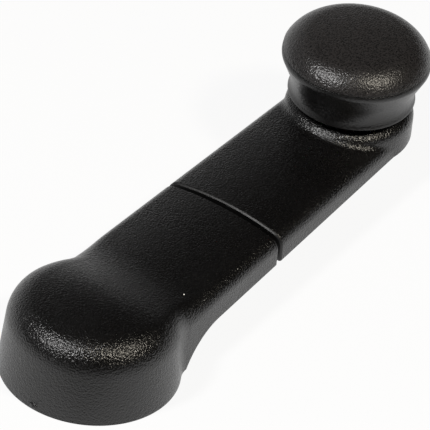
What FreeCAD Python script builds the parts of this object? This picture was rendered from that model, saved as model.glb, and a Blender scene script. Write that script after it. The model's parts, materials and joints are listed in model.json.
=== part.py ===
"""A car window winder handle: a moulded crank arm with a splined hub insert, a slide-off hub cover
that hides the retaining screw, and a mushroom knob that spins on a riveted spindle.

Origin on the hub axis in the plane of the hub's foot, +Z out of the door along the hub axis,
+X along the arm towards the knob. All lengths are in millimetres and all angles in degrees.
"""

import FreeCAD, Part
import math
import os

from FreeCAD import Vector

# The whole handle
arm_reach = 102.5            # hub axis to knob axis
wall = 2.0                   # moulded wall of the cover and the arm
overrun = 5.0                # how far every cutting tool passes the face that it cuts
least_round = 0.3            # the smallest rounding that the mould makes

# Hub, the round end that sits over the regulator shaft
hub_base_radius = 21.0
hub_height = 20.7
hub_draft = 4.1
hub_dome_radius = 84.0
hub_round = 7.3

# Bar between the two round ends
bar_width_share = 0.836      # half width at the hub, at its foot, against the hub's radius
bar_shoulder = 0.1           # the turret is this much wider than the bar, each side
hub_step = 3.8               # drop from the hub's dome to the bar's top
turret_step = 2.1            # drop from the turret to the bar's top
bar_draft = 2.0
crown_radius = 66.0          # the top is a shallow crown across the bar
bar_edge_round = 3.2
hub_blend_round = 6.0        # hollow blend of the bar into the hub

# Underside of the bar, which rises to the knob and curves down to the hub's foot
underside_at_hub = 6.2       # its line, carried back to the hub axis
underside_at_knob = 10.8
neck_arc_radius = 15.4
neck_arc_centre = 26.9       # distance of its centre from the hub axis

# Turret that carries the knob
turret_base_radius = 15.8
turret_height = 18.9
turret_draft = 1.1
turret_dome_radius = 400.0
turret_round = 2.8
turret_blend_round = 2.0

# Seam between the cover and the outer half of the arm
seam_place = 50.6
seam_gap = 1.3
seam_chamfer = 0.35
bulkhead = 2.4

# Core, the part of the arm that the cover slides over
cover_clearance = 0.35
core_bottom = 10.2
core_wall = 2.2
rail_clearance = 0.3
rail_height = 1.2
rail_width = 1.6
rail_start = 27.0
apron_clearance = 0.4

# Hub boss, its insert and the retaining screw
boss_radius = 11.9
insert_across_flats = 15.0
insert_flange_radius = 9.6
insert_flange = 1.4
insert_height = 10.4
insert_seat_clearance = 0.2
pilot_radius = 5.6
pilot_depth = 2.5
spline_root_radius = 5.3
spline_crest_radius = 4.85
spline_teeth = 30
spline_depth = 8.8
screw_hole_radius = 2.75
screw_radius = 2.45
screw_length = 8.0
screw_head_radius = 4.6
screw_head_height = 2.7
screw_head_round = 1.3
screw_head_dome_radius = 14.0
screw_tip_chamfer = 0.5
cross_recess_length = 5.0
cross_recess_width = 1.1
cross_recess_depth = 1.8
lock_washer_radius = 4.7
lock_washer_thickness = 1.1
lock_washer_slot = 0.9

# Ribs under the arm
rib = 1.4
rib_setback = 0.8            # the ribs stop this far above the bar's lower rim
core_cross_ribs = 2
arm_cross_ribs = 3

# Knob spindle, riveted into the turret
post_radius = 7.0
post_bottom = 13.3
rivet_radius = 3.2
backing_washer_radius = 6.0
backing_washer_thickness = 0.8
rivet_head_radius = 4.6
rivet_head_height = 1.0
spindle_radius = 4.0
spindle_running_clearance = 0.06
spindle_head_radius = 7.0
spindle_head_height = 1.5
spindle_head_round = 0.6

# Knob
knob_gap = 1.8               # between the knob's lip and the turret
lip_radius = 15.3
lip_height = 0.5
waist_radius = 14.85
waist_rise = 1.7             # from the lip up to the waist
flare_radius = 8.0           # the side turns outward above the waist in one arc, then runs straight
flare_lean = 25.0
rim_radius = 17.6
rim_bulge = 0.2              # the rim is a low round band between the flare and the cap
rim_band = 1.2
knob_wall = 2.1
knob_floor = 2.4
bearing_wall = 2.8
bearing_length = 6.4
thrust_washer_radius = 8.2
thrust_washer_thickness = 2.2
thrust_washer_clearance = 0.05
thrust_washer_side_clearance = 0.4
cone_washer_thickness = 0.35
cone_washer_radius = 6.4
cone_washer_clearance = 0.05
knob_head_room = 0.95        # space for the cone washer under the spindle's head

# Knob cap
cap_line = 0.25              # fine line between the cap and the knob's body
cap_seat_width = 3.9
cap_overhang = 0.05
cap_draft = 24.0
cap_round_share = 1.34       # the shoulder's radius against the cap's height
cap_dome_radius = 80.0
cap_height = 6.1
cap_wall = 2.0
cap_chamfer = 0.35
plug_depth = 2.2
plug_clearance = 0.05
plug_wall = 1.8


def tan(angle):
    return math.tan(math.radians(angle))


def disc(radius, low, high, x=0):
    return Part.makeCylinder(radius, high - low, Vector(x, 0, low))


def ring(outer, inner, low, high, x=0):
    return disc(outer, low, high, x).cut(disc(inner, low - overrun, high + overrun, x))


def block(x_low, x_high, y_low, y_high, z_low, z_high):
    return Part.makeBox(x_high - x_low, y_high - y_low, z_high - z_low, Vector(x_low, y_low, z_low))


def line(a, b):
    return Part.LineSegment(Vector(*a), Vector(*b)).toShape()


def arc(a, b, c):
    return Part.Arc(Vector(*a), Vector(*b), Vector(*c)).toShape()


def spun(edges, x=0):
    """Solid of revolution of edges in the XZ plane about the Z axis through x."""
    face = Part.Face(Part.Wire(edges))
    solid = face.revolve(Vector(0, 0, 0), Vector(0, 0, 1))
    solid.translate(Vector(x, 0, 0))
    return solid


def spun_polygon(points, x=0):
    """The same for a closed outline of straight lines through (radius, height) points."""
    closed = points + points[:1]
    return spun([line((a[0], 0, a[1]), (b[0], 0, b[1])) for a, b in zip(closed, closed[1:])], x)


def dome_arc(radius, shoulder, apex):
    """Shallow arc from (radius, shoulder) to the apex on the axis."""
    drop = apex - shoulder
    bend = (radius ** 2 + drop ** 2) / (2 * drop)
    half_turn = math.asin(radius / bend) / 2
    middle = (bend * math.sin(half_turn), 0, apex - bend * (1 - math.cos(half_turn)))
    return arc((radius, 0, shoulder), middle, (0, 0, apex))


def fused(shapes):
    return shapes[0].multiFuse(shapes[1:]).removeSplitter()


def edges_where(shape, test):
    """Edges whose middle point passes the test."""
    return [edge for edge in shape.Edges
            if not edge.Degenerated and test(edge.valueAt((edge.FirstParameter + edge.LastParameter) / 2))]


def on_surface(shape, point):
    touching = least_round / 100
    return shape.Shells[0].distToShape(Part.Vertex(point))[0] < touching


def side_at(foot, draft, inset, height):
    """Distance from the middle of a drafted side that stands at foot at height 0."""
    return foot - inset / math.cos(math.radians(draft)) - height * tan(draft)


def shoulder(foot, draft, apex, dome_radius, rounding, inset):
    """Start, middle and end of the arc that rounds a drafted side into a dome, as (across, height)."""
    lean = math.radians(draft)
    round_radius = max(rounding - inset, least_round)
    out, up = math.cos(lean), math.sin(lean)
    offset = foot * out - inset - round_radius
    bend = dome_radius - inset - round_radius
    dome_centre = apex - dome_radius
    across, above = offset * out, offset * up - dome_centre
    along = above * out - across * up
    climb = math.sqrt(along ** 2 - across ** 2 - above ** 2 + bend ** 2) - along
    centre = (offset * out - climb * up, offset * up + climb * out)
    dome_out, dome_up = centre[0] / bend, (centre[1] - dome_centre) / bend
    length = math.hypot(out + dome_out, up + dome_up)
    ways = ((out, up), ((out + dome_out) / length, (up + dome_up) / length), (dome_out, dome_up))
    return [(centre[0] + round_radius * way[0], centre[1] + round_radius * way[1]) for way in ways]


def corner(points, inset):
    """The rounded corner itself, or the plain bevel that a hollow's hidden corner has."""
    low, middle, high = points
    return line(low, high) if inset >= wall else arc(low, middle, high)


def round_end(x, foot, draft, apex, dome_radius, rounding, inset, base, chamfer=0):
    """A tapered round end with a shallow dome and a rounded shoulder, inset by a wall."""
    points = [(a, 0, z) for a, z in shoulder(foot, draft, apex, dome_radius, rounding, inset)]
    low, _, high = points
    top = apex - inset
    foot_radius = side_at(foot, draft, inset, base)
    sides = [line((0, 0, top), (0, 0, base)), line((0, 0, base), (foot_radius - chamfer, 0, base))]
    if chamfer:
        sides.append(line((foot_radius - chamfer, 0, base), (foot_radius, 0, base + chamfer)))
    sides.append(line((foot_radius, 0, base + chamfer), low))
    return spun(sides + [corner(points, inset), dome_arc(high[0], high[2], top)], x)


def hub_form(inset, base):
    return round_end(0, hub_base_radius, hub_draft, hub_height, hub_dome_radius, hub_round, inset, base)


def turret_form(inset, base):
    return round_end(arm_reach, turret_base_radius, turret_draft, turret_height, turret_dome_radius,
                     turret_round, inset, base)


def along_bar(at_hub, at_knob, x):
    return at_hub + (at_knob - at_hub) * x / arm_reach


def bar_outline(x, foot, apex, inset, base):
    """Outline across the bar at x: flat foot, drafted sides, rounded edges and a crowned top."""
    left = [(x, a, z) for a, z in shoulder(foot, bar_draft, apex, crown_radius, bar_edge_round, inset)]
    right = [(x, -a, z) for x, a, z in left]
    left_foot = (x, side_at(foot, bar_draft, inset, base), base)
    right_foot = (x, -left_foot[1], base)
    return Part.Wire([
        line(right_foot, left_foot),
        line(left_foot, left[0]),
        corner(left, inset),
        arc(left[2], (x, 0, apex - inset), right[2]),
        corner(right[::-1], inset),
        line(right[0], right_foot),
    ])


def bar_section(x, inset, base):
    return bar_outline(x, along_bar(bar_half_width_at_hub, bar_half_width_at_knob, x),
                       along_bar(bar_top_at_hub, bar_top_at_knob, x), inset, base)


def bar_form(inset, base, start, end, chamfer=0):
    """The bar from start to end, with a chamfer round its start."""
    sections = [bar_section(start, inset + chamfer, base)]
    if chamfer:
        sections.append(bar_section(start + chamfer, inset, base))
    return Part.makeLoft(sections + [bar_section(end, inset, base)], True, True)


def underside(x):
    return along_bar(underside_at_hub, underside_at_knob, x)


def below_bar(lift):
    """Everything under the bar's lower rim: a sloping floor and the neck's curve, raised by lift."""
    slope = (underside_at_knob - underside_at_hub) / arm_reach
    lean = math.sqrt(1 + slope ** 2)
    centre_x = neck_arc_centre
    centre_z = underside(centre_x) - neck_arc_radius * lean
    far = arm_reach + turret_base_radius + overrun
    low = centre_z - overrun
    half_angle = (math.pi + math.pi / 2 + math.atan(slope)) / 2
    start = (centre_x - neck_arc_radius, 0, centre_z + lift)
    middle = (centre_x + neck_arc_radius * math.cos(half_angle), 0,
              centre_z + neck_arc_radius * math.sin(half_angle) + lift)
    top = (centre_x - neck_arc_radius * slope / lean, 0, centre_z + neck_arc_radius / lean + lift)
    face = Part.Face(Part.Wire([
        arc(start, middle, top),
        line(top, (far, 0, underside(far) + lift)),
        line((far, 0, underside(far) + lift), (far, 0, low)),
        line((far, 0, low), (start[0], 0, low)),
        line((start[0], 0, low), start),
    ]))
    reach = hub_base_radius + overrun
    face.translate(Vector(0, -reach, 0))
    return face.extrude(Vector(0, 2 * reach, 0))


def blended(first, second, radius):
    """Two forms joined with a hollow fillet along the line where their skins meet."""
    whole = first.fuse(second)
    meeting = edges_where(whole, lambda p: (on_surface(first, p) and on_surface(second, p)
                                            and p.z > least_round))
    return whole.makeFillet(radius, meeting)


# Places that several pieces share
bar_half_width_at_hub = bar_width_share * hub_base_radius
bar_half_width_at_knob = turret_base_radius - bar_shoulder
bar_top_at_hub = hub_height - hub_step
bar_top_at_knob = turret_height - turret_step
seam_cover_side = seam_place - seam_gap / 2
seam_arm_side = seam_place + seam_gap / 2
core_end = seam_arm_side + bulkhead
seam_half_width = side_at(along_bar(bar_half_width_at_hub, bar_half_width_at_knob, seam_place), bar_draft, 0,
                          bar_top_at_hub)
core_inset = wall + cover_clearance
core_half_width = seam_half_width - core_inset
rail_top = core_bottom - rail_clearance
rail_bottom = rail_top - rail_height
rail_inner = core_half_width - rail_width
apron_half_width = rail_inner - apron_clearance
flange_low = insert_height - insert_flange
counterbore_radius = insert_flange_radius + insert_seat_clearance
screw_seat = insert_height + lock_washer_thickness
knob_low = turret_height + knob_gap
bearing_top = knob_low + bearing_length
head_low = bearing_top + knob_head_room
waist_height = knob_low + lip_height + waist_rise
turn_radius = waist_radius + flare_radius * (1 - math.cos(math.radians(flare_lean)))
turn_height = waist_height + flare_radius * math.sin(math.radians(flare_lean))
rim_height = turn_height + (rim_radius - turn_radius) / tan(flare_lean)
flare_top = rim_height + rim_band
cap_low = flare_top + cap_line
cap_radius = rim_radius + cap_overhang
mouth_radius = rim_radius - cap_seat_width
cap_apex = cap_low + cap_height


def hub_cover():
    """The cover: hub and inner half of the bar as one thin shell, open below, with a rail each side."""
    bar = bar_form(0, 0, 0, seam_cover_side)
    hub = hub_form(0, 0)
    skin = blended(hub, bar, hub_blend_round)
    skin = skin.cut(below_bar(0).cut(hub))
    hollow_bar = bar_form(wall, -overrun, 0, seam_place + overrun)
    shell = skin.cut(hub_form(wall, -overrun)).cut(hollow_bar)
    rails = []
    for side in (-1, 1):
        inner = side * rail_inner
        outer = side * (seam_half_width - wall / 2)
        rails.append(block(rail_start, seam_cover_side, min(inner, outer), max(inner, outer),
                           rail_bottom, rail_top))
    return fused([shell] + rails)


def apron():
    """The stretch of the hub's skirt under the bar, which stays on the arm when the cover slides off."""
    skirt = hub_form(0, 0).cut(hub_form(wall, -overrun))
    reach = hub_base_radius + overrun
    wide = block(0, reach, -core_half_width, core_half_width, -overrun, rail_bottom - rail_clearance)
    narrow = block(0, reach, -apron_half_width, apron_half_width, -overrun, core_bottom + core_wall)
    return skirt.common(wide.fuse(narrow))


def rib_grid(start, end, first, pitch, cross_ribs, low):
    """One rib along the arm and several across it, all above low."""
    across = bar_half_width_at_hub
    tall = turret_height + overrun
    grid = block(start, end, -rib / 2, rib / 2, low, tall)
    for count in range(cross_ribs):
        at = first + pitch * (count + 1)
        grid = grid.fuse(block(at - rib / 2, at + rib / 2, -across, across, low, tall))
    return grid


def core_form(inset, start, end):
    """The bar's least section inside the cover, the same all along, so that the cover slides off it."""
    least_top = min(bar_top_at_hub, along_bar(bar_top_at_hub, bar_top_at_knob, core_end))
    foot = along_bar(bar_half_width_at_hub, bar_half_width_at_knob, core_end)
    section = bar_outline(start, foot, least_top, inset, 0)
    return Part.Face(section).extrude(Vector(end - start, 0, 0))


def core():
    """The arm inside the cover: a channel with ribs, the hub boss and the apron."""
    form = core_form(core_inset, 0, core_end)
    channel = form.common(block(0, core_end, -core_half_width, core_half_width, core_bottom, turret_height))
    hollow_half_width = core_half_width - core_wall
    hollow = core_form(core_inset + core_wall, -overrun, seam_arm_side)
    hollow = hollow.common(block(-overrun, seam_arm_side, -hollow_half_width, hollow_half_width, 0,
                                 turret_height))
    pitch = (seam_arm_side - hub_base_radius) / (core_cross_ribs + 1)
    hollow = hollow.cut(rib_grid(0, seam_arm_side, hub_base_radius, pitch, core_cross_ribs, core_bottom))
    boss_top = bar_top_at_hub - core_inset - cover_clearance
    boss = disc(boss_radius, 0, boss_top).common(core_form(core_inset, -boss_radius - overrun, seam_place))
    body = fused([channel.cut(hollow), boss, apron()])
    body = body.cut(disc(counterbore_radius, flange_low, boss_top + overrun))
    return body.cut(insert_body(-overrun, flange_low + overrun))


def insert_body(low, high):
    """The insert's six-sided body."""
    reach = insert_across_flats / 2 / math.cos(math.pi / 6)
    corners = [Vector(reach * math.cos(k * math.pi / 3), reach * math.sin(k * math.pi / 3), low)
               for k in range(7)]
    return Part.Face(Part.makePolygon(corners)).extrude(Vector(0, 0, high - low))


def outer_arm():
    """The outer half of the bar and the turret: a shell open below, with ribs and the spindle post."""
    bar = bar_form(0, 0, seam_arm_side, arm_reach, seam_chamfer)
    skin = blended(turret_form(0, 0), bar, turret_blend_round).cut(below_bar(0))
    hollow = bar_form(wall, 0, core_end, arm_reach).fuse(turret_form(wall, 0))
    pitch = (arm_reach - post_radius - core_end) / (arm_cross_ribs + 1)
    grid = rib_grid(seam_arm_side, arm_reach + turret_base_radius, core_end, pitch, arm_cross_ribs, 0)
    grid = grid.cut(below_bar(rib_setback)).cut(disc(post_radius, 0, post_bottom, arm_reach))
    hollow = hollow.cut(grid)
    hollow = hollow.cut(disc(post_radius, post_bottom, turret_height + overrun, arm_reach))
    return skin.cut(hollow)


def crank_arm():
    arm = fused([outer_arm(), core()])
    return arm.cut(disc(rivet_radius, 0, turret_height + overrun, arm_reach))


def splined_insert():
    """Metal insert with a plain lead-in, a serrated bore and a flange that bears on the boss."""
    solid = fused([insert_body(0, insert_height - insert_flange / 2),
                   disc(insert_flange_radius, flange_low, insert_height)])
    points = []
    for count in range(spline_teeth):
        for radius, share in ((spline_crest_radius, 0), (spline_root_radius, 1)):
            turn = (2 * count + share) * math.pi / spline_teeth
            points.append(Vector(radius * math.cos(turn), radius * math.sin(turn), pilot_depth - overrun))
    star = Part.Face(Part.makePolygon(points + points[:1]))
    solid = solid.cut(star.extrude(Vector(0, 0, spline_depth - pilot_depth + overrun)))
    solid = solid.cut(disc(pilot_radius, -overrun, pilot_depth))
    return solid.cut(disc(screw_hole_radius, 0, insert_height + overrun))


def retaining_screw():
    """Pan head machine screw with a cross recess."""
    tip = screw_seat - screw_length
    head_top = screw_seat + screw_head_height
    shank = spun_polygon([(0, tip), (screw_radius - screw_tip_chamfer, tip),
                          (screw_radius, tip + screw_tip_chamfer), (screw_radius, screw_seat),
                          (0, screw_seat)])
    head = round_end(0, screw_head_radius, 0, head_top, screw_head_dome_radius, screw_head_round, 0,
                     screw_seat)
    screw = fused([shank, head])
    half_length = cross_recess_length / 2
    half_width = cross_recess_width / 2
    floor = head_top - cross_recess_depth
    for along, across in ((half_length, half_width), (half_width, half_length)):
        screw = screw.cut(block(-along, along, -across, across, floor, head_top + overrun))
    return screw


def lock_washer():
    """Split spring washer under the screw's head."""
    whole = ring(lock_washer_radius, screw_hole_radius, insert_height, screw_seat)
    return whole.cut(block(0, lock_washer_radius + overrun, -lock_washer_slot / 2,
                           lock_washer_slot / 2, insert_height - overrun, screw_seat + overrun))


def knob_spindle():
    """Shouldered steel pin: head inside the knob, bearing length, and a shank riveted below the arm."""
    washer_low = post_bottom - backing_washer_thickness
    rivet_low = washer_low - rivet_head_height
    head_top = head_low + spindle_head_height
    outline = [
        (rivet_head_radius, washer_low), (rivet_radius, washer_low), (rivet_radius, turret_height),
        (spindle_radius, turret_height), (spindle_radius, head_low),
        (spindle_head_radius, head_low), (spindle_head_radius, head_top - spindle_head_round),
        (spindle_head_radius - spindle_head_round, head_top), (0, head_top), (0, rivet_low),
    ]
    sides = [line((a[0], 0, a[1]), (b[0], 0, b[1])) for a, b in zip(outline, outline[1:])]
    return spun([dome_arc(rivet_head_radius, washer_low, rivet_low)] + sides, arm_reach)


def backing_washer():
    return ring(backing_washer_radius, rivet_radius, post_bottom - backing_washer_thickness,
                post_bottom, arm_reach)


def thrust_washer():
    return ring(thrust_washer_radius, spindle_radius + spindle_running_clearance, turret_height,
                turret_height + thrust_washer_thickness, arm_reach)


def cone_washer():
    """Dished spring washer that takes up the knob's end play."""
    inner = spindle_radius + spindle_running_clearance
    low = bearing_top + cone_washer_clearance
    high = head_low - cone_washer_clearance
    return spun_polygon([
        (inner, high - cone_washer_thickness), (cone_washer_radius, low),
        (cone_washer_radius, low + cone_washer_thickness), (inner, high),
    ], arm_reach)


def knob_body():
    """Mushroom knob's body: a cup with a flared wall, a floor and a bearing tube."""
    lip = (lip_radius, 0, knob_low + lip_height)
    waist = (waist_radius, 0, waist_height)
    hollow_radius = ((lip_radius - waist_radius) ** 2 + waist_rise ** 2) / (lip_radius - waist_radius) / 2
    half_turn = math.asin(waist_rise / hollow_radius) / 2
    below = (waist_radius + hollow_radius * (1 - math.cos(half_turn)), 0,
             waist_height - hollow_radius * math.sin(half_turn))
    half_lean = math.radians(flare_lean / 2)
    above = (waist_radius + flare_radius * (1 - math.cos(half_lean)), 0,
             waist_height + flare_radius * math.sin(half_lean))
    turn = (turn_radius, 0, turn_height)
    rim = (rim_radius, 0, rim_height)
    bulge = (rim_radius + rim_bulge, 0, (rim_height + flare_top) / 2)
    top = (rim_radius, 0, flare_top)
    body = spun([
        line((0, 0, knob_low), (lip_radius - lip_height, 0, knob_low)),
        line((lip_radius - lip_height, 0, knob_low), lip),
        arc(lip, below, waist),
        arc(waist, above, turn),
        line(turn, rim),
        arc(rim, bulge, top),
        line(top, (0, 0, flare_top)),
        line((0, 0, flare_top), (0, 0, knob_low)),
    ])
    inside = waist_radius - knob_wall
    tube = spindle_radius + bearing_wall
    body = body.cut(disc(mouth_radius, flare_top - plug_depth - plug_clearance, flare_top + overrun))
    body = body.cut(ring(inside, tube, knob_low + knob_floor, flare_top))
    body = body.cut(disc(inside, bearing_top, flare_top + overrun))
    body = body.cut(disc(spindle_radius + spindle_running_clearance, 0, flare_top))
    recess = thrust_washer_thickness - knob_gap + thrust_washer_clearance
    body = body.cut(disc(thrust_washer_radius + thrust_washer_side_clearance, 0, knob_low + recess))
    body.translate(Vector(arm_reach, 0, 0))
    return body


def cap_form(inset, base, chamfer=0):
    foot = cap_radius + (cap_low + cap_chamfer) * tan(cap_draft)
    return round_end(arm_reach, foot, cap_draft, cap_apex, cap_dome_radius, cap_round_share * cap_height,
                     inset, base, chamfer)


def knob_cap():
    """Domed cap whose plug ring presses into the knob's body."""
    dome = cap_form(0, cap_low, cap_chamfer)
    shell = dome.cut(cap_form(cap_wall, cap_low - overrun))
    plug_radius = mouth_radius - plug_clearance
    plug_low = flare_top - plug_depth
    plug = ring(plug_radius, plug_radius - plug_wall, plug_low, cap_apex - cap_wall / 2, arm_reach)
    return fused([shell, plug.common(cap_form(0, plug_low))])


makers = {
    "crank_arm": crank_arm,
    "hub_cover": hub_cover,
    "splined_insert": splined_insert,
    "retaining_screw": retaining_screw,
    "lock_washer": lock_washer,
    "knob_spindle": knob_spindle,
    "backing_washer": backing_washer,
    "thrust_washer": thrust_washer,
    "cone_washer": cone_washer,
    "knob_body": knob_body,
    "knob_cap": knob_cap,
}

os.makedirs("parts", exist_ok=True)
for name, make in makers.items():
    shape = make()
    if len(shape.Solids) == 1:
        shape = shape.Solids[0]
    print(name, len(shape.Solids), "solid", shape.isValid(), round(shape.Volume, 1))
    shape.exportStep("parts/" + name + ".step")
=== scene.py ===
import json
import math

import bmesh
import bpy
from mathutils import Matrix, Vector


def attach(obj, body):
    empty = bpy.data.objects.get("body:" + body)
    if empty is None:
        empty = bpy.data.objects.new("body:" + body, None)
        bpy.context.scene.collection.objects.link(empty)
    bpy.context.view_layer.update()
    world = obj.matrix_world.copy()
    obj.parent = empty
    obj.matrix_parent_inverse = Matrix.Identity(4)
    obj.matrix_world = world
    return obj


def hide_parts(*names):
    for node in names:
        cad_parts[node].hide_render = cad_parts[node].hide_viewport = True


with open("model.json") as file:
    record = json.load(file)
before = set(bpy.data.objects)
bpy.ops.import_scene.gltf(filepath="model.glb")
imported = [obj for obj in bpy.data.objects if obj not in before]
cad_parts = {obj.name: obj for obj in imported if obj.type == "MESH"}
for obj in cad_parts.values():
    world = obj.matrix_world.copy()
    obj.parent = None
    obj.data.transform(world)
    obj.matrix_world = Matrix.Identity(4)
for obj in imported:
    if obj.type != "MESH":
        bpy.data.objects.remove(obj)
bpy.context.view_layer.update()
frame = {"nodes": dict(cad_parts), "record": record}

scene = bpy.context.scene
scene.view_settings.view_transform = "Standard"
mm = 0.001


# Camera: a long lens at the photograph's angle, set by the outline of the handle in the picture
image_side = 430
sensor_width = 36.0
camera_azimuth = math.radians(-59.45)
camera_elevation = math.radians(38.0)
camera_roll = math.radians(7.48)
camera_distance = 1.2
focal_pixels = 5292.0
camera_right = 28.48 * mm
camera_up = 34.07 * mm
nearest, farthest = 0.05, 50.0


def make_camera():
    level_share = math.cos(camera_elevation)
    back = Vector((math.sin(camera_azimuth) * level_share, -math.cos(camera_azimuth) * level_share,
                   math.sin(camera_elevation)))
    level = Vector((math.cos(camera_azimuth), math.sin(camera_azimuth), 0))
    upright = back.cross(level)
    across = level * math.cos(camera_roll) + upright * math.sin(camera_roll)
    up = upright * math.cos(camera_roll) - level * math.sin(camera_roll)
    data = bpy.data.cameras.new("camera")
    data.sensor_width = sensor_width
    data.lens = focal_pixels * sensor_width / image_side
    data.clip_start = nearest
    data.clip_end = farthest
    camera = bpy.data.objects.new("camera", data)
    scene.collection.objects.link(camera)
    place = back * camera_distance + across * camera_right + up * camera_up
    turn = Matrix((across, up, back)).transposed().to_4x4()
    camera.matrix_world = Matrix.Translation(place) @ turn
    scene.camera = camera


make_camera()


# Node helpers
new_mark_place = 0.5                    # until the mark gets its own


def node_tree(owner):
    owner.use_nodes = True
    tree = owner.node_tree
    tree.nodes.clear()
    return tree


def add(tree, kind, **values):
    """A node with its plain settings and the values of its unlinked inputs."""
    node = tree.nodes.new(kind)
    for name, value in values.items():
        if hasattr(node, name):
            setattr(node, name, value)
        else:
            node.inputs[name.replace("_", " ")].default_value = value
    return node


def math_node(tree, operation, *inputs):
    """A math node whose inputs are numbers or sockets."""
    node = tree.nodes.new("ShaderNodeMath")
    node.operation = operation
    for socket, value in zip(node.inputs, inputs):
        if isinstance(value, (int, float)):
            socket.default_value = value
        else:
            tree.links.new(value, socket)
    return node.outputs[0]


def map_range(tree, value, limits, ends, kind="LINEAR"):
    """A value carried from its limits to the given ends, and held there beyond them."""
    node = add(tree, "ShaderNodeMapRange", interpolation_type=kind)
    tree.links.new(value, node.inputs["Value"])
    for name, number in zip(("From Min", "From Max", "To Min", "To Max"), (*limits, *ends)):
        node.inputs[name].default_value = number
    return node.outputs[0]


def parts_of(tree, vector):
    split = tree.nodes.new("ShaderNodeSeparateXYZ")
    tree.links.new(vector, split.inputs[0])
    return split.outputs


def color_steps(tree, value, steps):
    """A color ramp from (place, color) steps."""
    ramp = tree.nodes.new("ShaderNodeValToRGB")
    tree.links.new(value, ramp.inputs[0])
    marks = ramp.color_ramp.elements
    while len(marks) < len(steps):
        marks.new(new_mark_place)
    for mark, (place, color) in zip(marks, steps):
        mark.position = place
        mark.color = (*color, 1)
    return ramp.outputs[0]


def heading(azimuth, elevation):
    """The unit direction at two angles in degrees, with azimuth counted from +X towards +Y."""
    a, e = math.radians(azimuth), math.radians(elevation)
    return Vector((math.cos(a) * math.cos(e), math.sin(a) * math.cos(e), math.sin(e)))


# Stage: a white floor, a dim room with a pale wall behind the object, and two soft lamps
floor_reach = 6.0
floor_glow_share = 0.9                  # of what the camera and reflections see; the rest is lit
floor_paint = (0.9, 0.9, 0.9, 1)
sight_azimuth = 30                      # the way the photographer looks over the floor
shade_place = (0.02, 0.045)             # the floor darkens over this stretch before the hub
shade_depth = (1.0, 0.5)
shade_narrowing = -0.6                  # the shaded patch is a wedge that opens from the hub
wall_heading, wall_end_heading = (75, -30), (30, 0)
wall_end_place, wall_end_depth = (0.1, 0.6), (0.2, 1.0)
wall_steps = ((0.0, 0.025), (0.09, 0.03), (0.25, 0.056), (0.41, 0.122), (0.57, 0.32), (0.73, 0.5),
              (1.0, 0.7))
lamp_target = Vector((0.05, 0, 0.02))
lamp_width = 0.17


def make_floor():
    """White to the camera. Reflections see it shaded in front, where the photographer stands."""
    r = floor_reach
    mesh = bpy.data.meshes.new("floor")
    mesh.from_pydata([(-r, -r, 0), (r, -r, 0), (r, r, 0), (-r, r, 0)], [], [(0, 1, 2, 3)])
    floor = bpy.data.objects.new("floor", mesh)
    scene.collection.objects.link(floor)
    material = bpy.data.materials.new("floor_white")
    tree = node_tree(material)
    rays = tree.nodes.new("ShaderNodeLightPath").outputs
    seen = math_node(tree, "MAXIMUM", rays["Is Glossy Ray"], rays["Is Transmission Ray"])
    seen = math_node(tree, "MAXIMUM", seen, rays["Is Camera Ray"])
    spot = parts_of(tree, tree.nodes.new("ShaderNodeTexCoord").outputs["Object"])
    turn = math.radians(sight_azimuth)
    before = math_node(tree, "MULTIPLY", spot["X"], -math.cos(turn))
    before = math_node(tree, "MULTIPLY_ADD", spot["Y"], -math.sin(turn), before)
    aside = math_node(tree, "MULTIPLY", spot["X"], -math.sin(turn))
    aside = math_node(tree, "MULTIPLY_ADD", spot["Y"], math.cos(turn), aside)
    aside = math_node(tree, "ABSOLUTE", aside)
    shade = math_node(tree, "MULTIPLY_ADD", aside, shade_narrowing, before)
    fade = map_range(tree, shade, shade_place, shade_depth)
    paint = add(tree, "ShaderNodeBsdfDiffuse", Color=floor_paint)
    glow = add(tree, "ShaderNodeEmission")
    glow.inputs["Color"].default_value = (1, 1, 1, 1)
    tree.links.new(math_node(tree, "MAXIMUM", fade, rays["Is Camera Ray"]), glow.inputs["Strength"])
    mix = tree.nodes.new("ShaderNodeMixShader")
    tree.links.new(math_node(tree, "MULTIPLY", seen, floor_glow_share), mix.inputs[0])
    tree.links.new(paint.outputs[0], mix.inputs[1])
    tree.links.new(glow.outputs[0], mix.inputs[2])
    out = tree.nodes.new("ShaderNodeOutputMaterial")
    tree.links.new(mix.outputs[0], out.inputs[0])
    mesh.materials.append(material)


def make_room():
    """A dim room that grows pale towards the foot of the wall behind the object."""
    world = bpy.data.worlds.new("room")
    scene.world = world
    tree = node_tree(world)
    where = tree.nodes.new("ShaderNodeTexCoord").outputs["Generated"]

    def towards(azimuth, elevation):
        dot = add(tree, "ShaderNodeVectorMath", operation="DOT_PRODUCT")
        tree.links.new(where, dot.inputs[0])
        dot.inputs[1].default_value = heading(azimuth, elevation)
        return dot.outputs["Value"]

    paleness = color_steps(tree, towards(*wall_heading),
                           [(place, (light, light, light)) for place, light in wall_steps])
    wall_end = map_range(tree, towards(*wall_end_heading), wall_end_place, wall_end_depth,
                         "SMOOTHSTEP")
    background = tree.nodes.new("ShaderNodeBackground")
    tree.links.new(paleness, background.inputs["Color"])
    tree.links.new(wall_end, background.inputs["Strength"])
    out = tree.nodes.new("ShaderNodeOutputWorld")
    tree.links.new(background.outputs[0], out.inputs[0])


def make_lamp(name, azimuth, elevation, power, color):
    """A round lamp at one metre from its target."""
    data = bpy.data.lights.new(name, "AREA")
    data.shape = "DISK"
    data.size = lamp_width
    data.energy = power
    data.color = color
    lamp = bpy.data.objects.new(name, data)
    scene.collection.objects.link(lamp)
    way = heading(azimuth, elevation)
    lamp.location = lamp_target + way
    lamp.rotation_euler = way.to_track_quat("Z", "Y").to_euler()


make_floor()
make_room()
make_lamp("lamp_left", azimuth=158, elevation=51, power=6.3, color=(1.0, 0.99, 0.985))
make_lamp("lamp_right", azimuth=267, elevation=55, power=4.8, color=(1.0, 0.93, 0.8))


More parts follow.
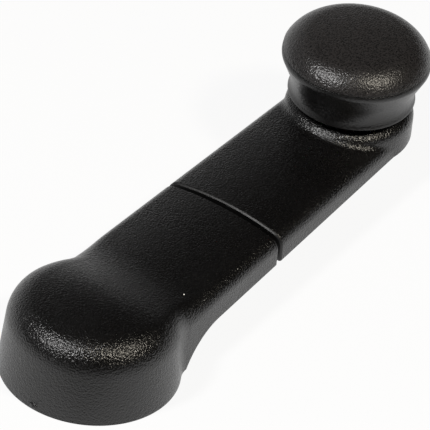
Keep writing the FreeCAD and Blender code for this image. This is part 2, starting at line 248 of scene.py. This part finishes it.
# Finishes
def new_finish(name, **values):
    """A material with one shader: its tree, its pattern coordinates and the shader's inputs."""
    material = bpy.data.materials.new(name)
    tree = node_tree(material)
    where = tree.nodes.new("ShaderNodeTexCoord").outputs["Object"]
    out = tree.nodes.new("ShaderNodeOutputMaterial")
    shader = add(tree, "ShaderNodeBsdfPrincipled", **values)
    tree.links.new(shader.outputs[0], out.inputs[0])
    return material, tree, where, shader.inputs


def speckle(tree, where, scale, detail=2.0):
    noise = add(tree, "ShaderNodeTexNoise", Scale=scale, Detail=detail)
    tree.links.new(where, noise.inputs["Vector"])
    return noise.outputs[0]


def soft_edges(tree, radius):
    """The normal of an edge that the mould rounds by radius."""
    return add(tree, "ShaderNodeBevel", samples=4, Radius=radius).outputs[0]


def bumped(tree, height, depth, normal):
    bump = add(tree, "ShaderNodeBump", Strength=1.0, Distance=depth)
    tree.links.new(height, bump.inputs["Height"])
    tree.links.new(normal, bump.inputs["Normal"])
    return bump.outputs[0]


plastic_edge = 0.25 * mm
plastic_ior, cell_smoothness = 1.55, 0.5
fine_scale, fine_height = 1.3, 0.9      # the fine grain against the pebbles
patch_scale = 70.0
sheen_spread = 0.16                     # of the roughness, by patches and by fine grain
# Painted highlights: the grain's crests are painted paler than the plastic's own colour
painted_glint_scale = 0.8
painted_glint_steps = ((0.42, 0.1), (0.85, 7.0))    # place in the grain's height, share of the color; painted highlights that pale the grain's crests
dull_place, dull_grain, dull_roughness = (0.3 * mm, 0.6 * mm), 0.2, 0.25
dust_radius, dust_color = 0.23 * mm, (0.95, 0.95, 0.93, 1)
under_color, over_color, mixed_color = 6, 7, 2      # the color sockets of a mix node


def moulded_plastic(name, color, roughness, grain, pebble, dust=None, dull_edge=None):
    """Black moulded plastic: pebbled grain of a depth and a cell size, its crests painted paler as
    tiny highlights.

    dust is the place of a pale speck, and dull_edge the place along X of an edge without grain."""
    material, tree, where, plastic = new_finish(name, IOR=plastic_ior)
    cells = add(tree, "ShaderNodeTexVoronoi", feature="SMOOTH_F1", Scale=1 / pebble,
                Smoothness=cell_smoothness)
    tree.links.new(where, cells.inputs["Vector"])
    fine = speckle(tree, where, fine_scale / pebble)
    height = math_node(tree, "MULTIPLY_ADD", fine, fine_height, cells.outputs["Distance"])
    least = roughness - sheen_spread
    if dull_edge:
        off = math_node(tree, "SUBTRACT", parts_of(tree, where)["X"], dull_edge)
        off = math_node(tree, "ABSOLUTE", off)
        keep = map_range(tree, off, dull_place, (dull_grain, 1.0), "SMOOTHSTEP")
        height = math_node(tree, "MULTIPLY", height, keep)
        least = math_node(tree, "MULTIPLY_ADD", keep, -dull_roughness, least + dull_roughness)
    normal = bumped(tree, height, grain, soft_edges(tree, plastic_edge))
    tree.links.new(normal, plastic["Normal"])
    patches = speckle(tree, where, patch_scale, detail=3.0)
    sheen = math_node(tree, "MULTIPLY_ADD", patches, sheen_spread, least)
    sheen = math_node(tree, "MULTIPLY_ADD", fine, sheen_spread, sheen)
    tree.links.new(sheen, plastic["Roughness"])
    # Painted highlights: the colour grows paler towards the grain's crests
    paint = color_steps(tree, math_node(tree, "MULTIPLY", height, painted_glint_scale),
                        [(place, [part * share for part in color]) for place, share in painted_glint_steps])
    if dust:
        near = add(tree, "ShaderNodeVectorMath", operation="DISTANCE")
        tree.links.new(where, near.inputs[0])
        near.inputs[1].default_value = dust
        speck = math_node(tree, "LESS_THAN", near.outputs["Value"], dust_radius)
        mix = add(tree, "ShaderNodeMix", data_type="RGBA")
        tree.links.new(speck, mix.inputs[0])
        tree.links.new(paint, mix.inputs[under_color])
        mix.inputs[over_color].default_value = dust_color
        paint = mix.outputs[mixed_color]
    tree.links.new(paint, plastic["Base Color"])
    return material


metal_edge = 0.12 * mm
stain_scale, stain_spread = 260.0, 0.3
stain_steps = ((0.3, 0.72), (0.7, 1.0))     # place in the stains, share of the color


def bare_metal(name, color, roughness, pits, scale, lines=(1, 1, 1)):
    """Metal with a fine surface: even pits, or lines where the pattern is stretched."""
    material, tree, where, metal = new_finish(name, Metallic=1.0)
    stretch = add(tree, "ShaderNodeMapping")
    stretch.inputs["Scale"].default_value = lines
    tree.links.new(where, stretch.inputs["Vector"])
    marks = speckle(tree, stretch.outputs[0], scale, detail=3.0)
    tree.links.new(bumped(tree, marks, pits, soft_edges(tree, metal_edge)), metal["Normal"])
    stains = speckle(tree, where, stain_scale, detail=4.0)
    sheen = math_node(tree, "MULTIPLY_ADD", stains, stain_spread, roughness - stain_spread / 2)
    tree.links.new(sheen, metal["Roughness"])
    tint = color_steps(tree, stains,
                       [(place, [part * share for part in color]) for place, share in stain_steps])
    tree.links.new(tint, metal["Base Color"])
    return material


nylon_edge, nylon_depth, nylon_scale = 0.15 * mm, 0.01 * mm, 900.0
nylon_color, nylon_roughness, nylon_ior = (0.74, 0.73, 0.68, 1), 0.45, 1.53
nylon_clearness, nylon_clear_depth = 0.2, 0.5 * mm


def natural_nylon(name):
    material, tree, where, nylon = new_finish(
        name, Base_Color=nylon_color, Roughness=nylon_roughness, IOR=nylon_ior,
        Subsurface_Weight=nylon_clearness, Subsurface_Scale=nylon_clear_depth)
    marks = speckle(tree, where, nylon_scale, detail=3.0)
    tree.links.new(bumped(tree, marks, nylon_depth, soft_edges(tree, nylon_edge)), nylon["Normal"])
    return material


black = (0.00045, 0.0004, 0.0004)
# Painted sheen: a paler copy of the black, which brightens the whole knob cap
painted_sheen_black = (0.0036, 0.0033, 0.0033)
grain_cell = 0.46 * mm
seam_edge = 51.4 * mm
dust_speck = (18.25 * mm, -11.5 * mm, 16.0 * mm)
finishes = {
    "arm_plastic": moulded_plastic("arm_black", black, roughness=0.29, grain=0.11 * mm,
                                   pebble=grain_cell, dull_edge=seam_edge),
    "cover_plastic": moulded_plastic("cover_black", black, roughness=0.29, grain=0.11 * mm,
                                     pebble=grain_cell, dust=dust_speck),
    "cap_plastic": moulded_plastic("cap_black", painted_sheen_black, roughness=0.33, grain=0.075 * mm,
                                   pebble=grain_cell),
    "knob_plastic": moulded_plastic("knob_black", black, roughness=0.35, grain=0.05 * mm,
                                    pebble=grain_cell),
    "cast_metal": bare_metal("cast_metal", (0.5, 0.5, 0.51), roughness=0.55, pits=0.03 * mm,
                             scale=1500),
    "plated_steel": bare_metal("plated_steel", (0.62, 0.61, 0.57), roughness=0.32,
                               pits=0.006 * mm, scale=2500),
    "spindle_steel": bare_metal("spindle_steel", (0.5, 0.5, 0.5), roughness=0.28,
                                pits=0.006 * mm, scale=400, lines=(1, 1, 12)),
    "spring_steel": bare_metal("spring_steel", (0.16, 0.16, 0.17), roughness=0.38,
                               pits=0.008 * mm, scale=2000),
    "nylon": natural_nylon("natural_nylon"),
}


# Geometry Nodes: the smoother of the carried-over solids, and the lathe for the knob's two pieces
corner_angle = math.radians(24)
merge_distance = 0.002 * mm
turned_steps = 192


def geometry_group(name, inputs):
    tree = bpy.data.node_groups.new(name, "GeometryNodeTree")
    tree.interface.new_socket("Geometry", in_out="INPUT", socket_type="NodeSocketGeometry")
    for label, kind, value in inputs:
        socket = tree.interface.new_socket(label, in_out="INPUT", socket_type=kind)
        if value is not None:
            socket.default_value = value
    tree.interface.new_socket("Geometry", in_out="OUTPUT", socket_type="NodeSocketGeometry")
    return tree, tree.nodes.new("NodeGroupInput"), tree.nodes.new("NodeGroupOutput")


def shade_nodes(tree, geometry, angle):
    """Smooth faces, with a crease at every edge that turns by more than angle."""
    smooth = add(tree, "GeometryNodeSetShadeSmooth", domain="FACE")
    crease = add(tree, "GeometryNodeSetShadeSmooth", domain="EDGE")
    bend = tree.nodes.new("GeometryNodeInputMeshEdgeAngle")
    under = add(tree, "FunctionNodeCompare", operation="LESS_EQUAL")
    tree.links.new(geometry, smooth.inputs["Geometry"])
    tree.links.new(smooth.outputs[0], crease.inputs["Geometry"])
    tree.links.new(bend.outputs["Unsigned Angle"], under.inputs[0])
    tree.links.new(angle, under.inputs[1])
    tree.links.new(under.outputs[0], crease.inputs["Shade Smooth"])
    return crease.outputs[0]


def smoother():
    tree, start, end = geometry_group("smooth_skin",
                                      [("Corner angle", "NodeSocketFloat", corner_angle)])
    merge = add(tree, "GeometryNodeMergeByDistance", Distance=merge_distance)
    tree.links.new(start.outputs["Geometry"], merge.inputs["Geometry"])
    shaded = shade_nodes(tree, merge.outputs[0], start.outputs["Corner angle"])
    tree.links.new(shaded, end.inputs[0])
    return tree


def lathe():
    """Turns a profile's points, given as (radius, 0, height), round an axis parallel to Z."""
    tree, start, end = geometry_group("lathe", [
        ("Axis distance", "NodeSocketFloat", 0.0), ("Steps round", "NodeSocketInt", turned_steps),
        ("Corner angle", "NodeSocketFloat", corner_angle),
        ("Material", "NodeSocketMaterial", None)])
    link = tree.links.new

    def whole(operation, a, b):
        node = add(tree, "FunctionNodeIntegerMath", operation=operation)
        link(a, node.inputs[0])
        if isinstance(b, int):
            node.inputs[1].default_value = b
        else:
            link(b, node.inputs[1])
        return node.outputs[0]

    size = add(tree, "GeometryNodeAttributeDomainSize", component="MESH")
    link(start.outputs["Geometry"], size.inputs[0])
    columns = whole("ADD", start.outputs["Steps round"], 1)
    grid = tree.nodes.new("GeometryNodeMeshGrid")
    link(size.outputs["Point Count"], grid.inputs["Vertices X"])
    link(columns, grid.inputs["Vertices Y"])
    index = tree.nodes.new("GeometryNodeInputIndex").outputs[0]
    row = whole("DIVIDE", index, columns)
    column = whole("MODULO", index, columns)
    sample = add(tree, "GeometryNodeSampleIndex", data_type="FLOAT_VECTOR", domain="POINT")
    link(start.outputs["Geometry"], sample.inputs["Geometry"])
    link(tree.nodes.new("GeometryNodeInputPosition").outputs[0], sample.inputs["Value"])
    link(row, sample.inputs["Index"])
    spot = parts_of(tree, sample.outputs[0])
    share = math_node(tree, "DIVIDE", column, start.outputs["Steps round"])
    turn = math_node(tree, "MULTIPLY", share, 2 * math.pi)
    across = math_node(tree, "MULTIPLY", spot["X"], math_node(tree, "COSINE", turn))
    across = math_node(tree, "ADD", across, start.outputs["Axis distance"])
    aside = math_node(tree, "MULTIPLY", spot["X"], math_node(tree, "SINE", turn))
    place = tree.nodes.new("ShaderNodeCombineXYZ")
    for socket, value in zip(place.inputs, (across, aside, spot["Z"])):
        link(value, socket)
    turned = tree.nodes.new("GeometryNodeSetPosition")
    link(grid.outputs["Mesh"], turned.inputs["Geometry"])
    link(place.outputs[0], turned.inputs["Position"])
    merge = add(tree, "GeometryNodeMergeByDistance", Distance=merge_distance)
    link(turned.outputs[0], merge.inputs["Geometry"])
    shaded = shade_nodes(tree, merge.outputs[0], start.outputs["Corner angle"])
    real = tree.nodes.new("GeometryNodeRealizeInstances")
    link(shaded, real.inputs[0])
    paint = tree.nodes.new("GeometryNodeSetMaterial")
    link(real.outputs[0], paint.inputs["Geometry"])
    link(start.outputs["Material"], paint.inputs["Material"])
    link(paint.outputs[0], end.inputs[0])
    return tree


def placed(name, mesh):
    piece = bpy.data.objects.new(name, mesh)
    scene.collection.objects.link(piece)
    return piece


def made_by(tree, name, points, edges, **values):
    """A new object from a mesh of points and edges that a node tree turns into its shape."""
    seed = bpy.data.meshes.new(name + "_seed")
    seed.from_pydata([Vector(point) * mm for point in points], edges, [])
    maker = placed(name + "_maker", seed)
    modifier = maker.modifiers.new("maker", "NODES")
    modifier.node_group = tree
    for item in tree.interface.items_tree:
        if item.in_out == "INPUT" and item.name.replace(" ", "_") in values:
            modifier[item.identifier] = values[item.name.replace(" ", "_")]
    graph = bpy.context.evaluated_depsgraph_get()
    mesh = bpy.data.meshes.new_from_object(maker.evaluated_get(graph))
    mesh.name = name
    bpy.data.objects.remove(maker)
    bpy.data.meshes.remove(seed)
    return placed(name, mesh)


# Sizes in millimetres that the visual pieces share with the solids
arm_reach = 102.5
wall = 2.0
hub_radius, hub_top, hub_lean, hub_dome, hub_round = 21.0, 20.7, math.radians(4.1), 84.0, 7.3
bar_widths, bar_tops = (17.556, 15.7), (16.9, 16.8)     # at the hub's axis and at the knob's
bar_lean, bar_crown, bar_round = math.radians(2.0), 66.0, 3.2
under_ends, neck_radius, neck_centre = (6.2, 10.8), 15.4, 26.9
corner_round = 6.0
cover_end = 49.75


def along_bar(ends, x):
    return ends[0] + (ends[1] - ends[0]) * x / arm_reach


def smooth_share(low, high, value):
    share = min(max((value - low) / (high - low), 0), 1)
    return share * share * (3 - 2 * share)


# Hub cover: the dome runs down into the bar in one long hollow
flow_start, flow_end, flow_bend, flow_skew = -9.0, 21.5, 140.0, 1.6
lean_change, round_change = (9, 14), (4, 26)    # the hub's lean and shoulder end over these
hub_steps, corner_steps, end_steps = 72, 16, 26
near_steps = [0.25, 0.5, 0.8, 1.2, 1.7, 2.3, 3.0, 4.0, 5.0, 6.2, 7.5, 9.0]
side_steps, shoulder_steps, top_steps = 9, 12, 18
rail_sides, rail_heights, rail_places = (13.6, 15.7), (8.7, 9.9), (27.4, 27.6, cover_end)
skirt_start, skirt_turn, skirt_steps = 47.3, 12.0, 6    # the last of the hub's side, in degrees
skirt_outline = ((19.0, 0), (21.0, 0), (20.4, 8.0), (18.4, 8.0))
nub_place, nub_radius, nub_shares = Vector((-20.86, 0.5, 0.95)), 0.85, (0.55, 1.2, 0.9)
lump_depth, lump_waves, lump_shift = 0.25, (9, 7), 4
tiny, nothing = 0.01, 1e-9
join_distance = 1e-4
slope_step = 0.05
cover_crease = math.radians(40)
corner_rounds, shoulder_rounds = 30, 11     # steps of the sums that settle by repeating
first_shoulder_tilt = math.radians(10)


def cover_top(x, y):
    dome = hub_top - hub_dome + math.sqrt(hub_dome ** 2 - x * x - y * y)
    bar = along_bar(bar_tops, max(x, 0)) - y * y / (2 * bar_crown)
    away = min(max((x - y * y / flow_bend - flow_start) / (flow_end - flow_start), 0), 1)
    return bar + (max(dome, bar) - bar) * (1 - smooth_share(0, 1, away ** flow_skew))


def cover_rim(x):
    """Height of the lower rim: the foot, the neck's curve and the bar's sloping underside."""
    slope = (under_ends[1] - under_ends[0]) / arm_reach
    lean = math.sqrt(1 + slope ** 2)
    if x > neck_centre - neck_radius * slope / lean:
        return along_bar(under_ends, x)
    centre = along_bar(under_ends, neck_centre) - neck_radius * lean
    return max(centre + math.sqrt(max(neck_radius ** 2 - (x - neck_centre) ** 2, 0)), 0)


def arc_places(centre, radius, start, end, steps):
    """Points of an arc in plan, with the direction of each from the arc's centre."""
    for step in range(steps + 1):
        turn = start + (end - start) * step / steps
        out = Vector((math.cos(turn), math.sin(turn)))
        yield centre + out * radius, out


def cover_stations():
    """Places along the left outline, each a point and the way inward from it."""
    slope = (bar_widths[0] - bar_widths[1]) / arm_reach
    side_length = math.sqrt(1 + slope ** 2)
    reach = hub_radius + corner_round
    x = reach / 2
    for _ in range(corner_rounds):
        side = bar_widths[0] - slope * x + corner_round * side_length
        x = math.sqrt(reach ** 2 - side ** 2)
    corner = Vector((x, bar_widths[0] - slope * x + corner_round * side_length))
    meet = math.atan2(corner.y, corner.x)
    leave = math.atan2(1, slope)
    hub = arc_places(Vector((0, 0)), hub_radius, math.pi, meet, hub_steps)
    stations = [(point, -out) for point, out in hub]
    hollow = list(arc_places(corner, -corner_round, meet, leave, corner_steps))[1:]
    stations += [(point, -out) for point, out in hollow]
    x = stations[-1][0].x
    inward = Vector((-slope, -1)) / side_length
    rest = cover_end - x - near_steps[-1]
    steps = near_steps + [near_steps[-1] + rest * step / end_steps
                          for step in range(1, end_steps + 1)]
    for step in steps:
        stations.append((Vector((x + step, bar_widths[0] - slope * (x + step))), inward))
    return stations


def cover_profile(point, inward):
    """Points from the rim up the side, round the shoulder and over the top to the middle."""
    lean = hub_lean + (bar_lean - hub_lean) * smooth_share(*lean_change, point.x)
    rounding = hub_round + (bar_round - hub_round) * smooth_share(*round_change, point.x)
    reach = -point.y / inward.y if abs(inward.y) > nothing else hub_radius
    middle = point + inward * reach

    def top(distance):
        spot = middle - inward * distance
        return cover_top(spot.x, spot.y)

    def settle(height):
        """The shoulder's centre at a height, where the shoulder meets the top, and its slope."""
        centre = reach - rounding / math.cos(lean) - height * math.tan(lean)
        touch = centre + rounding * math.sin(tilt)
        drop = top(touch - slope_step) - top(touch + slope_step)
        return centre, touch, math.atan(drop / (2 * slope_step))

    tilt = first_shoulder_tilt
    height = hub_top - 2 * rounding
    centre, touch, tilt = settle(height)
    for _ in range(shoulder_rounds):
        height = top(touch) - rounding * math.cos(tilt)
        centre, touch, tilt = settle(height)
    base = cover_rim(point.x)
    foot = height + rounding * math.sin(lean)
    points = []
    for step in range(side_steps):
        z = base + (foot - base) * step / side_steps
        points.append((reach - z * math.tan(lean), z))
    for step in range(shoulder_steps + 1):
        turn = lean + (math.pi / 2 - tilt - lean) * step / shoulder_steps
        points.append((centre + rounding * math.cos(turn), height + rounding * math.sin(turn)))
    start = points[-1][0]
    for step in range(1, top_steps + 1):
        distance = start * (1 - step / top_steps)
        points.append((distance, top(distance)))
    row = []
    for distance, z in points:
        spot = middle - inward * distance
        row.append(Vector((spot.x, spot.y, z)))
    return row


def box_faces(shell, rows):
    """A closed block of two or more cross-sections of four points."""
    verts = [[shell.verts.new(point) for point in row] for row in rows]
    for a, b in zip(verts, verts[1:]):
        for k in range(4):
            shell.faces.new((a[k], a[(k + 1) % 4], b[(k + 1) % 4], b[k]))
    shell.faces.new(verts[0][::-1])
    shell.faces.new(verts[-1])


def add_outer_skin(shell):
    left = [cover_profile(point, inward) for point, inward in cover_stations()]
    right = [[Vector((p.x, -p.y, p.z)) for p in row] for row in left[:0:-1]]
    rows = [[shell.verts.new(point) for point in row] for row in right + left]
    for a, b in zip(rows, rows[1:]):
        for k in range(len(a) - 1):
            shell.faces.new((a[k], b[k], b[k + 1], a[k + 1]))
    bmesh.ops.remove_doubles(shell, verts=shell.verts, dist=join_distance)
    bmesh.ops.recalc_face_normals(shell, faces=shell.faces)
    if sum(face.normal.z * face.calc_area() for face in shell.faces) < 0:
        bmesh.ops.reverse_faces(shell, faces=shell.faces)
    shell.normal_update()


def add_wall(shell):
    """The inner skin and the rims that join it to the outer one."""
    outer = list(shell.verts)
    skin = list(shell.faces)
    border = [edge for edge in shell.edges if edge.is_boundary]
    inner = {}
    for vert in outer:
        point = vert.co - vert.normal * wall
        if vert.is_boundary:
            if abs(vert.co.x - cover_end) < tiny:
                point.x = cover_end
            if vert.co.z < cover_rim(vert.co.x) + tiny:
                point.z = vert.co.z
        inner[vert] = shell.verts.new(point)
    for face in skin:
        shell.faces.new([inner[vert] for vert in reversed(face.verts)])
    for edge in border:
        a, b = edge.verts
        shell.faces.new((a, b, inner[b], inner[a]))


def add_rails_and_skirts(shell):
    (near, far), (low, high) = rail_sides, rail_heights
    section = ((near, low), (far, low), (far, high), (near, high))
    for side in (-1, 1):
        box_faces(shell, [[(x, side * y, z) for y, z in section] for x in rail_places])
        skirt = []
        for step in range(skirt_steps + 1):
            turn = math.radians(skirt_start + skirt_turn * step / skirt_steps)
            skirt.append([(r * math.cos(turn), side * r * math.sin(turn), z)
                          for r, z in skirt_outline])
        box_faces(shell, skirt)


def add_nub(shell):
    """The little lump of flash on the foot's rim."""
    nub = bmesh.ops.create_icosphere(shell, subdivisions=2, radius=nub_radius)["verts"]
    for vert in nub:
        across = math.sin(lump_waves[0] * vert.co.y + lump_shift)
        along = math.cos(lump_waves[1] * vert.co.z)
        lump = 1 + lump_depth * across * along
        scaled = Vector([part * share for part, share in zip(vert.co, nub_shares)])
        vert.co = nub_place + scaled * lump


def make_cover():
    shell = bmesh.new()
    add_outer_skin(shell)
    add_wall(shell)
    add_rails_and_skirts(shell)
    add_nub(shell)
    bmesh.ops.recalc_face_normals(shell, faces=shell.faces)
    bmesh.ops.scale(shell, vec=(mm, mm, mm), verts=shell.verts)
    mesh = bpy.data.meshes.new("hub_cover_skin")
    shell.to_mesh(mesh)
    shell.free()
    mesh.shade_smooth()
    mesh.set_sharp_from_angle(angle=cover_crease)
    mesh.materials.append(finishes["cover_plastic"])
    return placed("hub_cover_skin", mesh)


# Knob: sizes in millimetres, and profiles as (radius, height) points
knob_low = 20.7
rim_height, rim_top, rim_radius = 30.571, 32.26, 17.6
flare_lean, flare_radius = math.radians(25), 8.0
bearing_radius, bearing_wall, bearing_top = 4.06, 6.8, 27.1
thrust_radius, thrust_depth, lip_flat = 8.6, 0.45, 11.5
lip, lip_roll, lip_roll_end = (15.3, 21.2), 0.4, -0.25
waist = (14.85, 22.9)
rim_half, rim_bulge, rim_bevel = 0.75, 0.2, 17.5
inside_radius, inside_floor = 12.75, 23.1
seat_radius, seat_height = 13.75, 29.52
cap_low, cap_apex, cap_dome, cap_lean = 32.35, 38.121, 80.0, math.radians(24)
cap_round, cap_radius, cap_roll = 8.174, 17.65, 0.2
cap_rounds, first_cap_tilt = 20, math.radians(8)
plug_inner, plug_outer, plug_low = 11.9, 13.7, 29.57
ceiling_turn, ceiling_drops = 6.0, (0.23, 1.0, 1.6, 2.6)    # the inside follows the dome
rim_inner, rim_inner_top, rim_inner_rise = 15.4, 14.6, 1.2
band_end_share, edge_end_share = 0.75, 0.5
lower_steps, upper_steps, flare_steps, band_steps, edge_steps = 8, 10, 6, 10, 6
cap_shoulder_steps, cap_dome_steps = 26, 16


def bow(centre, radius, start, end, steps):
    """Points of an arc. Angles in radians from the outward direction, upward positive."""
    turns = [start + (end - start) * step / steps for step in range(steps + 1)]
    return [(centre[0] + radius * math.cos(turn), centre[1] + radius * math.sin(turn))
            for turn in turns]


def body_profile():
    hollow = ((lip[0] - waist[0]) ** 2 + (waist[1] - lip[1]) ** 2) / (lip[0] - waist[0]) / 2
    reach = math.asin((waist[1] - lip[1]) / hollow)
    lower = bow((waist[0] + hollow, waist[1]), hollow, math.pi + reach, math.pi, lower_steps)
    upper = bow((waist[0] + flare_radius, waist[1]), flare_radius, math.pi, math.pi - flare_lean,
                upper_steps)
    turn = upper[-1]
    flare = [(turn[0] + (rim_radius - turn[0]) * step / flare_steps,
              turn[1] + (rim_height - turn[1]) * step / flare_steps)
             for step in range(1, flare_steps + 1)]
    radius = (rim_half ** 2 + rim_bulge ** 2) / (2 * rim_bulge)
    spread = math.asin(rim_half / radius)
    band = bow((rim_radius + rim_bulge - radius, rim_height + rim_half), radius, -spread,
               spread * band_end_share, band_steps)
    roll = bow((lip[0] - lip_roll, knob_low + lip_roll), lip_roll, -math.pi / 2, lip_roll_end,
               edge_steps)
    thrust_top = knob_low + thrust_depth
    bottom = [(bearing_radius, thrust_top), (thrust_radius, thrust_top), (thrust_radius, knob_low),
              (lip_flat, knob_low)]
    inside = [(rim_bevel, rim_top), (seat_radius, rim_top), (seat_radius, seat_height),
              (inside_radius, seat_height), (inside_radius, inside_floor),
              (bearing_wall, inside_floor), (bearing_wall, bearing_top),
              (bearing_radius, bearing_top), (bearing_radius, thrust_top)]
    return bottom + roll + lower[1:] + upper[1:] + flare + band[1:] + inside


def cap_profile():
    side = cap_radius + (cap_low + cap_roll) * math.tan(cap_lean)
    tilt = first_cap_tilt
    for _ in range(cap_rounds):
        height = cap_apex - cap_dome + (cap_dome - cap_round) * math.cos(tilt)
        touch = side - cap_round / math.cos(cap_lean) - height * math.tan(cap_lean)
        tilt = math.asin(touch / (cap_dome - cap_round))
    start = math.pi / 2 - tilt
    shoulder = bow((touch, height), cap_round, cap_lean, start, cap_shoulder_steps)
    top = bow((0, cap_apex - cap_dome), cap_dome, start, math.pi / 2, cap_dome_steps)[1:]
    top[-1] = (0, cap_apex)
    edge = bow((cap_radius - cap_roll, cap_low + cap_roll), cap_roll, -math.pi / 2,
               cap_lean * edge_end_share, edge_steps)
    ceiling = cap_apex - wall
    first, second, third, last = [ceiling - drop for drop in ceiling_drops]
    inside = [(0, ceiling), (ceiling_turn, first), (plug_inner, second), (plug_inner, plug_low),
              (plug_outer, plug_low), (plug_outer, third), (rim_inner_top, last),
              (rim_inner, cap_low + rim_inner_rise), (rim_inner, cap_low)]
    return inside + edge + shoulder + top


turning = lathe()


def turned_piece(name, profile, slot):
    points = [(radius, 0, height) for radius, height in profile]
    edges = [(k, k + 1) for k in range(len(points) - 1)]
    return made_by(turning, name, points, edges, Axis_distance=arm_reach * mm,
                   Steps_round=turned_steps, Corner_angle=corner_angle, Material=finishes[slot])


def dress(piece, body, node):
    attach(piece, body)
    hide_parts(node)


smoothing = smoother()
slots = {row["node"]: row["material_slot"] for row in frame["record"]["subparts"]}
for name, node in frame["nodes"].items():
    node.data.materials.clear()
    node.data.materials.append(finishes[slots[name]])
    modifier = node.modifiers.new("smooth_skin", "NODES")
    modifier.node_group = smoothing

dress(make_cover(), "cover", "hub_cover")
dress(turned_piece("knob_body_turned", body_profile(), "knob_plastic"), "knob", "knob_body")
dress(turned_piece("knob_cap_turned", cap_profile(), "cap_plastic"), "knob", "knob_cap")
